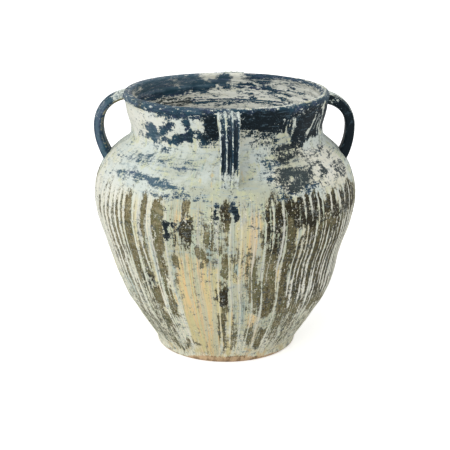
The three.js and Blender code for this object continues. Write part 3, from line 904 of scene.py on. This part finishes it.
def strap_section():
    """Outline of the strap: across it, and outwards, with soft edges and flutes on its outer face."""
    fine = np.linspace(0, 2 * math.pi, OUTLINE_STEPS + 1)
    power = 2 / STRAP_SQUARENESS
    across = np.sign(np.cos(fine)) * np.abs(np.cos(fine)) ** power
    outward = np.sign(np.sin(fine)) * np.abs(np.sin(fine)) ** power
    length = arc_length(np.column_stack([across * STRAP_HALF_WIDTH, outward * STRAP_HALF_THICKNESS]))
    at = np.linspace(0, length[-1], STRAP_SIDES, endpoint=False)
    across, outward = np.interp(at, length, across), np.interp(at, length, outward)
    phase = math.pi * STRAP_FLUTES * (across * 0.5 / FLUTED_SHARE + 0.5)
    face = np.clip(outward, 0, 1) ** 2 * (np.abs(across) < FLUTED_SHARE)
    return across, outward, np.abs(np.sin(phase)) ** FLUTE_SHARPNESS * face


def strap_path(shift, lift):
    """Centreline of a handle in radius and height, from inside the lip to inside the shoulder."""
    crown = (CROWN[0] + shift, CROWN[1])
    landing = (float(outside_radius(LANDING_HEIGHT)), LANDING_HEIGHT)
    buried = np.array(landing) + direction(LANDING_LEAN) * WALL
    path = joined(
        stretch((SPRING[0], SPRING[1] + lift), OUT, crown, DOWN, PULL["strap_rise"]),
        stretch(crown, DOWN, landing, LANDING_LEAN, PULL["strap_fall"]),
        np.linspace(landing, buried, LANDING_STEPS),
    )
    return spaced(path[path[:, 0] > STRAP_START], STRAP_RINGS)


def handle_finish(name, along, across, outward, groove, inner):
    """Glaze fields of a handle: navy in the flutes, worn ridges, a smear of cream under the lip and, on the
    left and back handles, a painted highlight along the sides.
    """
    on_face = np.abs(across) < FLUTED_SHARE
    ridge = bell(np.clip(groove, 0, 1), RIDGE_WIDTH) * (1 - inner)
    if name == "handle_front":
        top = 1 - eased(along + 8 * across, 18, 32)
        end = 1 - eased(along.max() - along, 16, 34)
        navy = 1.15 - 0.75 * ridge - 0.6 * top - 0.85 * end
        dark = 0.75 - 0.6 * ridge - 0.3 * top
    elif name == "handle_right":
        upper = 1 - eased(along, 60, 100)
        root = 1 - eased(along, 8, 26)
        navy = 1.15 - (0.2 + 0.7 * upper) * ridge * on_face - 0.5 * root
        dark = 1.0 - 0.6 * ridge * on_face
    else:
        smear = 1 - eased(along - 4 * across, 9, 17)
        # Ridges on the fluted face are worn pale; down the middle of the narrow sides the navy is made paler
        # as a painted highlight
        worn_ridges_and_side_highlight = np.where(on_face, 0.6 * ridge, bell(outward - SIDE_HIGHLIGHT_MIDDLE, SIDE_HIGHLIGHT_WIDTH))
        navy = 1.1 - 0.3 * ridge * on_face - 0.85 * smear - 0.45 * inner
        dark = 0.05 - 0.8 * worn_ridges_and_side_highlight
    plain = np.zeros(along.shape)
    own = {"navy": navy, "dark": dark, "olive": 1.1 * inner, "warm": plain + 0.2, "speck": plain + 0.3}
    return dict.fromkeys(finish, plain) | own


def strap_faces():
    """Faces of a strap's side and its two ends, and the flat layout of their corners."""
    faces, uv = [], []
    for ring in range(STRAP_RINGS - 1):
        first, second = ring * STRAP_SIDES, (ring + 1) * STRAP_SIDES
        low, high = SIDE_SHARE * ring / STRAP_RINGS, SIDE_SHARE * (ring + 1) / STRAP_RINGS
        for k in range(STRAP_SIDES):
            after = (k + 1) % STRAP_SIDES
            faces.append([first + k, second + k, second + after, first + after])
            left, right = k / STRAP_SIDES, (k + 1) / STRAP_SIDES
            uv += [(left, low), (left, high), (right, high), (right, low)]
    last = (STRAP_RINGS - 1) * STRAP_SIDES
    faces.append(list(range(STRAP_SIDES)))
    faces.append([last + k for k in range(STRAP_SIDES)][::-1])
    turns = 2 * math.pi * np.arange(STRAP_SIDES) / STRAP_SIDES
    ring_uv = END_SIZE * np.column_stack([np.cos(turns), np.sin(turns)])
    lip_end, foot_end = (ring_uv + middle for middle in END_MIDDLES)
    return faces, uv + lip_end.tolist() + foot_end[::-1].tolist()


def make_handle(name, material):
    """Pulled strap from the lip to the shoulder, buried a little in both."""
    bearing, shift, sway, width_share, lip_share, lift = HANDLES[name]
    random = np.random.default_rng(sum(map(ord, name)))
    path, along = strap_path(shift, lift)
    outward_way = -right_of(unit(np.gradient(path, along, axis=0)))
    across, outward, groove = (values[None, :] for values in strap_section())
    crown_at = along[np.argmax(path[:, 0])]
    to_lip = np.clip(1 - along / crown_at, 0, 1)[:, None] ** 2
    to_foot = np.clip((along - crown_at) / (along[-1] - crown_at), 0, 1)[:, None] ** 2
    run = along[:, None]
    uneven = 1 + sum(share * np.sin(run / length + random.uniform(0, 6)) for share, length in STRAP_WAVES)
    width = STRAP_HALF_WIDTH * width_share * uneven * (1 + (LIP_FLARE - 1) * to_lip)
    thickness = 1 + (lip_share - 1) * to_lip
    fillet = np.where(outward < 0, 1 + FOOT_FILLET * to_foot, 1)
    stand = (STRAP_HALF_THICKNESS * outward * fillet - FLUTE_DEPTH * groove) * thickness
    side = across * width + sway * np.sin(math.pi * run / along[-1])
    radius = path[:, 0][:, None] + outward_way[:, 0][:, None] * stand
    height = path[:, 1][:, None] + outward_way[:, 1][:, None] * stand
    height = np.minimum(height, POT_HEIGHT - TOP_MARGIN)
    deepest = outside_radius(height) - BURIED_SHARE * WALL
    kept_in = np.sqrt(np.maximum(deepest ** 2 - side ** 2, 0))
    radius = np.where(np.hypot(radius, side) < deepest, kept_in, radius)
    turn = math.radians(bearing)
    x = radius * math.sin(turn) + side * math.cos(turn)
    y = -radius * math.cos(turn) + side * math.sin(turn)
    inner = np.broadcast_to(outward < -0.5, side.shape).astype(float)
    fields = handle_finish(name, *np.broadcast_arrays(run, across, outward, groove, inner))
    flow = (run + FLOW_APART * math.cos(turn), stand + FLOW_APART * math.sin(turn), side)
    faces, uv = strap_faces()
    return make_object(
        name + "_strap",
        np.stack([x, y, height], axis=-1).reshape(-1, 3),
        faces,
        uv,
        fields,
        np.stack(np.broadcast_arrays(*flow), axis=-1).reshape(-1, 3),
        material,
    )


# Materials

def srgb(red, green, blue):
    """Linear colour from an 8-bit screen colour."""
    def linear(value):
        value /= 255
        return value / 12.92 if value <= 0.04045 else ((value + 0.055) / 1.055) ** 2.4
    return (linear(red), linear(green), linear(blue), 1.0)


COOL_CREAM = srgb(212, 220, 213)
WARM_CREAM = srgb(230, 227, 207)
BRIGHT_CREAM = srgb(236, 235, 224)
DULL_CREAM = srgb(176, 179, 154)
YELLOW_GREEN = srgb(204, 208, 164)
BLUE_GREY = srgb(172, 188, 190)
SHADE_CREAM = srgb(156, 158, 140)
GREEN_LINE = srgb(188, 202, 178)
LILAC_LINE = srgb(186, 187, 184)
HAIR_LINE = srgb(98, 96, 76)
OCHRE = srgb(229, 198, 146)
PEACH = srgb(216, 190, 150)
STRAW = srgb(212, 202, 152)
SKY = srgb(158, 182, 180)
FLAKE = srgb(224, 221, 204)
OLIVE_LIGHT = srgb(157, 148, 115)
OLIVE = srgb(104, 95, 64)
GREEN_OLIVE = srgb(92, 94, 62)
OLIVE_VEIL = srgb(138, 133, 110)
BLACK_GREEN = srgb(30, 34, 28)
DARK_OLIVE = srgb(44, 40, 27)
MIST = srgb(132, 146, 152)
SLATE = srgb(84, 108, 122)
NAVY = srgb(30, 51, 68)
TEAL = srgb(38, 74, 90)
UMBER = srgb(58, 64, 60)
ASH = srgb(98, 104, 102)
VIOLET = srgb(72, 82, 114)
HAZE = srgb(158, 166, 162)
NAVY_BLACK = srgb(10, 24, 31)
SPECK = srgb(38, 43, 42)
CLAY = srgb(202, 174, 140)
DARK_CLAY = srgb(136, 112, 86)
WHITE = (1, 1, 1, 1)
FLOOR_WHITE = (0.94, 0.94, 0.94, 1)

# Noise patterns of the glaze: size in mm round the pot and along the flow, detail and roughness
NOISES = {
    "hair": (1.0, 60, 1.0, 0.55),
    "line": (2.8, 100, 2.0, 0.55),
    "band": (4.5, 140, 1.0, 0.55),
    "column": (8, 110, 1.0, 0.55),
    "streak": (4.5, 50, 3.0, 0.6),
    "dash": (2.0, 14, 2.0, 0.55),
    "torn": (8, 6, 5.0, 0.72),
    "chip": (2.4, 2.4, 2.0, 0.6),
    "fleck": (2.1, 3.6, 2.0, 0.6),
    "grain": (1.2, 1.2, 1.0, 0.55),
    "patch": (17, 12, 4.0, 0.6),
    "brush": (22, 1.9, 4.0, 0.62),
    "cloud": (38, 50, 2.0, 0.55),
    "ring": (180, 1.5, 2.0, 0.55),
}
# Where the noise of fine lines turns green
GREEN_EDGE = ("line", 0.46, 0.4)
SHEEN_LEVEL = 0.13
BUMP_STRENGTH = 0.6
BUMP_DISTANCE = 0.8 * MM


class Nodes:
    """Short way to write a node tree: each call adds a node and returns its output."""

    def __init__(self, tree):
        self.tree = tree
        tree.nodes.clear()

    def add(self, kind, inputs=None, output=0, **settings):
        made = self.tree.nodes.new(kind)
        for key, value in settings.items():
            setattr(made, key, value)
        for key, value in (inputs or {}).items():
            if isinstance(value, bpy.types.NodeSocket):
                self.tree.links.new(value, made.inputs[key])
            else:
                made.inputs[key].default_value = value
        return made.outputs[output] if made.outputs else None

    def math(self, operation, *values):
        return self.add("ShaderNodeMath", dict(enumerate(values)), operation=operation)

    def mix(self, factor, first, second):
        return self.add("ShaderNodeMix", {0: factor, 6: first, 7: second}, 2, data_type="RGBA")


class Glaze(Nodes):
    """Nodes of a glaze. A value is an output, or the name of a glaze field or a noise pattern."""

    def __init__(self, tree):
        super().__init__(tree)
        flow = self.add("ShaderNodeAttribute", output="Vector", attribute_name="flow")
        self.named = {name: self.noise(flow, *shape) for name, shape in NOISES.items()}
        for name in finish:
            self.named[name] = self.add("ShaderNodeAttribute", output="Fac", attribute_name=name)

    def noise(self, flow, around, along, detail, roughness):
        scale = (1 / around, 1 / around, 1 / along)
        placed = self.add("ShaderNodeVectorMath", {0: flow, 1: scale}, operation="MULTIPLY")
        settings = {"Vector": placed, "Scale": 1.0, "Detail": detail, "Roughness": roughness}
        return self.add("ShaderNodeTexNoise", settings, "Fac")

    def plus(self, total, *terms):
        """A number with others added, each (value, weight)."""
        for value, weight in terms:
            total = self.math("MULTIPLY_ADD", self.named.get(value, value), weight, total)
        return total

    def ragged(self, value, **weights):
        """A value with noise patterns added about their middle, each by its weight."""
        value = self.named.get(value, value)
        for name, weight in weights.items():
            value = self.plus(self.math("ADD", value, -weight / 2), (name, weight))
        return value

    def step(self, value, low, high, **weights):
        """0 to 1 as a ragged value goes from low to high."""
        settings = {"Value": self.ragged(value, **weights), "From Min": low, "From Max": high}
        return self.add("ShaderNodeMapRange", settings, interpolation_type="SMOOTHSTEP")

    def coated(self, colour, *coats, share=1.0):
        """A colour under coats, each (colour, strength, value, low, high) and noise weights, if any."""
        for tone, strength, value, low, high, *weights in coats:
            cover = self.math("MULTIPLY", self.step(value, low, high, **dict(*weights)), strength)
            colour = self.mix(self.math("MULTIPLY", cover, share), colour, tone)
        return colour


def cream_coat(glaze, warm):
    """Cream, cool or warm, with dull, greenish, bluish, shaded and clean places."""
    return glaze.coated(
        glaze.mix(warm, COOL_CREAM, WARM_CREAM),
        (DULL_CREAM, 0.75, "dull", 0.1, 0.9, {"cloud": 0.8, "torn": 1.0}),
        (YELLOW_GREEN, 0.6, "patch", 0.5, 0.68, {"streak": 0.5}),
        (BLUE_GREY, 0.75, "brush", 0.51, 0.68, {"torn": 0.9}),
        (SHADE_CREAM, 0.6, "torn", 0.53, 0.7, {"chip": 0.5}),
        (BRIGHT_CREAM, 0.7, "bright", 0.1, 0.9, {"cloud": 0.6, "torn": 0.8}),
    )


def ochre_coat(glaze, colour):
    """Ochre under the cream, with straw, peach and green in it."""
    tone = glaze.coated(
        OCHRE,
        (STRAW, 1.0, "column", 0.42, 0.58),
        (PEACH, 0.7, "streak", 0.54, 0.66),
        (GREEN_LINE, 0.6, "column", 0.44, 0.34, {"line": 0.5}),
    )
    return glaze.mix(glaze.step("ochre", 0.3, 0.75, streak=1.3, patch=1.2, line=0.5, chip=0.4), colour, tone)


def line_coat(glaze, colour):
    """Upright lines of straw, green, lilac and sky, dark scratches, and the runs of cream over them."""
    lines = glaze.named["lines"]
    colour = glaze.coated(
        colour,
        (STRAW, 0.65, "line", 0.54, 0.62),
        (GREEN_LINE, 0.75, *GREEN_EDGE),
        (LILAC_LINE, 0.6, "band", 0.55, 0.62, {"chip": 0.3}),
        share=lines,
    )
    colour = glaze.coated(colour, (SKY, 0.85, "sky", 0.35, 0.65, {"streak": 1.2, "line": 0.8, "chip": 0.6}))
    colour = glaze.coated(colour, (HAIR_LINE, 0.65, "hair", 0.58, 0.68, {"torn": 0.6}), share=lines)
    bright = glaze.step("bright", 0.1, 0.9, cloud=0.6, torn=0.8)
    run = (BRIGHT_CREAM, 1.0, "run", 0.35, 0.8, {"torn": 0.8, "chip": 0.5})
    return glaze.coated(colour, run, share=glaze.plus(0.4, (bright, 0.55)))


def olive_coat(glaze, colour):
    """Olive where no cream has run, with a veil round it and a dark rind, partly the glaze's own darker edge
    and partly painted shadow beside the raised cream runs. Gives the colour and the cover.
    """
    green = glaze.math("MULTIPLY", glaze.step(*GREEN_EDGE), glaze.named["lines"])
    field = glaze.plus(glaze.named["olive"], ("run", -0.95), (green, -0.2))
    edge = glaze.ragged(field, streak=1.2, dash=1.3, torn=1.6, chip=1.0, grain=0.5)
    cover = glaze.step(edge, 0.43, 0.55)
    tone = glaze.coated(
        OLIVE,
        (OLIVE_LIGHT, 1.0, "streak", 0.38, 0.62, {"torn": 1.0, "ring": 0.6}),
        (GREEN_OLIVE, 0.7, "patch", 0.48, 0.6, {"streak": 0.8}),
        (DARK_OLIVE, 1.0, "dark", 0.15, 0.85, {"ring": 1.0, "chip": 1.2, "torn": 1.6}),
        (BLACK_GREEN, 0.55, "chip", 0.58, 0.7, {"torn": 1.0, "dash": 0.6}),
        # dark rind: the glaze's darker edge, with painted shadow where the olive meets the raised cream runs
        (DARK_OLIVE, 0.4, edge, 0.85, 0.5),
    )
    return glaze.mix(cover, glaze.coated(colour, (OLIVE_VEIL, 0.5, edge, 0.1, 0.5)), tone), cover


def chips(glaze, colour):
    """Small dark specks and pale flakes."""
    flake = glaze.plus(0.04, ("lines", 0.14))
    return glaze.coated(
        colour,
        (SPECK, 0.85, "speck", 0.66, 0.78, {"dash": 1.5, "chip": 1.4, "grain": 1.0, "torn": 1.6}),
        (FLAKE, 0.9, flake, 0.5, 0.6, {"fleck": 1.8, "grain": -0.9, "patch": 1.2}),
    )


def navy_coat(glaze, colour, warm):
    """Brushed navy, slate where it is thin and browner where it is warm. Gives the colour and the cover."""
    edge = glaze.ragged("navy", brush=1.3, torn=2.2, patch=0.8, chip=1.2, grain=0.6)
    dark = glaze.step("dark", -0.6, 0.0, brush=1.2, torn=1.0)
    thin, thick = glaze.step(edge, 0.22, 0.8), glaze.step(edge, 0.42, 0.56)
    cover = glaze.math("MULTIPLY_ADD", dark, glaze.math("SUBTRACT", thick, thin), thin)
    slate = glaze.mix(glaze.step(warm, 0.75, 1.0), SLATE, ASH)
    tone = glaze.coated(
        glaze.mix(dark, SLATE, NAVY),
        (TEAL, 0.6, "patch", 0.47, 0.6, {"brush": 0.6}),
        (VIOLET, 0.45, "patch", 0.5, 0.38, {"torn": 0.5}),
        (UMBER, 0.75, warm, 0.75, 1.0),
        (NAVY_BLACK, 1.0, "dark", 0.2, 0.9, {"torn": 1.0, "brush": 1.0}),
        (slate, 0.5, "brush", 0.56, 0.7, {"torn": 0.5, "chip": 0.4}),
        (glaze.mix(dark, MIST, slate), 0.5, edge, 0.8, 0.5),
    )
    return glaze.mix(cover, glaze.coated(colour, (HAZE, 0.4, edge, 0.15, 0.5)), tone), cover


def bare_foot(glaze, colour):
    """Unglazed clay. Gives the colour and the cover."""
    tone = glaze.coated(CLAY, (DARK_CLAY, 1.0, "patch", 0.45, 0.7, {"torn": 0.8, "ring": 0.4}))
    cover = glaze.step("bare", 0.4, 0.6, chip=1.0, brush=0.8, torn=0.8)
    return glaze.mix(cover, colour, tone), cover


def glaze_material(name):
    """Weathered glaze: cream run over olive and ochre, brushed navy and bare clay, broken up into chips."""
    material = bpy.data.materials.new(name)
    material.use_nodes = True
    glaze = Glaze(material.node_tree)
    warm = glaze.step("warm", 0.2, 0.8, cloud=1.2, patch=0.8)
    colour = line_coat(glaze, ochre_coat(glaze, cream_coat(glaze, warm)))
    colour, olive = olive_coat(glaze, colour)
    colour, navy = navy_coat(glaze, chips(glaze, colour), warm)
    colour, bare = bare_foot(glaze, colour)
    roughness = glaze.plus(0.6, (navy, -0.14), ("chip", 0.12), (bare, 0.25))
    height = glaze.plus(0.0, (olive, -0.6), (navy, 0.35), ("chip", 0.5), ("ring", 0.35))
    bump = {"Strength": BUMP_STRENGTH, "Distance": BUMP_DISTANCE, "Height": height}
    shader = glaze.add("ShaderNodeBsdfPrincipled", {
        "Base Color": colour,
        "Roughness": roughness,
        "Normal": glaze.add("ShaderNodeBump", bump),
        "Specular IOR Level": SHEEN_LEVEL,
    })
    glaze.add("ShaderNodeOutputMaterial", {"Surface": shader})
    return material


# Pieces

FINE, COARSE = 1, COARSE_STEP
PIECES = {
    "floor_disc": ("bare_clay", rows_between("floor_inside", "underside", COARSE)
                   + [(row, COARSE) for row in range(starts["underside"] + 1, ROWS)]
                   + rows_between("edge", "lower", FINE)),
    "lower_wall": ("streaked_glaze", rows_between("lower", "shoulder", FINE)
                   + rows_between("lower_inside", "floor_inside", COARSE)),
    "shoulder_wall": ("cream_glaze", rows_between("shoulder", "neck", FINE)
                      + rows_between("shoulder_inside", "lower_inside", COARSE)),
    "neck_collar": ("cream_glaze", rows_between("neck", "lip", FINE)
                    + rows_between("neck_inside", "shoulder_inside", FINE)),
    "rim_lip": ("blue_glaze", rows_between("lip", "neck_inside", FINE)),
}

materials = {row["slot"]: glaze_material(row["slot"] + "_finish") for row in frame["record"]["materials"]}

for node, (slot, chain) in PIECES.items():
    piece = skin_piece(node + "_skin", chain, materials[slot])
    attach(piece, "root")
    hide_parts(node)

for node in HANDLES:
    piece = make_handle(node, materials["blue_glaze"])
    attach(piece, "root")
    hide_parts(node)


# Floor, light and camera, in metres and degrees

FLOOR_SIDE = 12.0
FLOOR_LIFT = 0.5
WORLD_LIGHT = 0.68
SUN_STRENGTH = 1.22
SUN_ANGLE = 60
SUN_BEARING = -42
SUN_ELEVATION = 42
SUN_DISTANCE = 2
CAMERA_PLACE = (0, -1.2403, 0.5272)
CAMERA_AIM = (0, 0, 0.1378)
CAMERA_LENS = 89.1
SENSOR = 36.0


def make_floor():
    """Wide pale floor that keeps the shadow and is white to the camera."""
    material = bpy.data.materials.new("pale_floor")
    material.use_nodes = True
    nodes = Nodes(material.node_tree)
    diffuse = nodes.add("ShaderNodeBsdfDiffuse", {"Color": FLOOR_WHITE})
    path = nodes.add("ShaderNodeLightPath", output="Is Camera Ray")
    strength = nodes.math("MULTIPLY", path, FLOOR_LIFT)
    lift = nodes.add("ShaderNodeEmission", {"Color": WHITE, "Strength": strength})
    both = nodes.add("ShaderNodeAddShader", {0: diffuse, 1: lift})
    nodes.add("ShaderNodeOutputMaterial", {"Surface": both})
    half = FLOOR_SIDE / 2
    corners = [(-half, -half, 0), (half, -half, 0), (half, half, 0), (-half, half, 0)]
    mesh = bpy.data.meshes.new("floor")
    mesh.from_pydata(corners, [], [(0, 1, 2, 3)])
    mesh.materials.append(material)
    floor = bpy.data.objects.new("floor", mesh)
    bpy.context.collection.objects.link(floor)


def make_world():
    """Even studio light, white where it is seen."""
    world = bpy.data.worlds.new("studio")
    world.use_nodes = True
    bpy.context.scene.world = world
    nodes = Nodes(world.node_tree)
    path = nodes.tree.nodes.new("ShaderNodeLightPath").outputs
    seen = nodes.math("MAXIMUM", path["Is Camera Ray"], path["Is Transmission Ray"])
    seen = nodes.math("MAXIMUM", seen, path["Is Glossy Ray"])
    strength = nodes.math("MULTIPLY_ADD", seen, 1 - WORLD_LIGHT, WORLD_LIGHT)
    back = nodes.add("ShaderNodeBackground", {"Color": WHITE, "Strength": strength})
    nodes.add("ShaderNodeOutputWorld", {"Surface": back})


def aimed(location, target):
    """Rotation that looks from a place to a target."""
    way = [b - a for a, b in zip(location, target)]
    flat = math.hypot(way[0], way[1])
    return (math.atan2(flat, -way[2]), 0, math.atan2(-way[0], way[1]))


def make_sun():
    """Large soft key light from the front left, above."""
    light = bpy.data.lights.new("key", "SUN")
    light.energy = SUN_STRENGTH
    light.angle = math.radians(SUN_ANGLE)
    sun = bpy.data.objects.new("key", light)
    turn, rise = math.radians(SUN_BEARING), math.radians(SUN_ELEVATION)
    way = (math.sin(turn) * math.cos(rise), -math.cos(turn) * math.cos(rise), math.sin(rise))
    sun.location = [SUN_DISTANCE * part for part in way]
    sun.rotation_euler = aimed(sun.location, (0, 0, 0))
    bpy.context.collection.objects.link(sun)


def make_camera():
    """Camera at the photo's angle."""
    data = bpy.data.cameras.new("camera")
    data.lens = CAMERA_LENS
    data.sensor_width = SENSOR
    camera = bpy.data.objects.new("camera", data)
    camera.location = CAMERA_PLACE
    camera.rotation_euler = aimed(CAMERA_PLACE, CAMERA_AIM)
    bpy.context.collection.objects.link(camera)
    bpy.context.scene.camera = camera


make_floor()
make_world()
make_sun()
make_camera()
bpy.context.scene.view_settings.view_transform = "Standard"
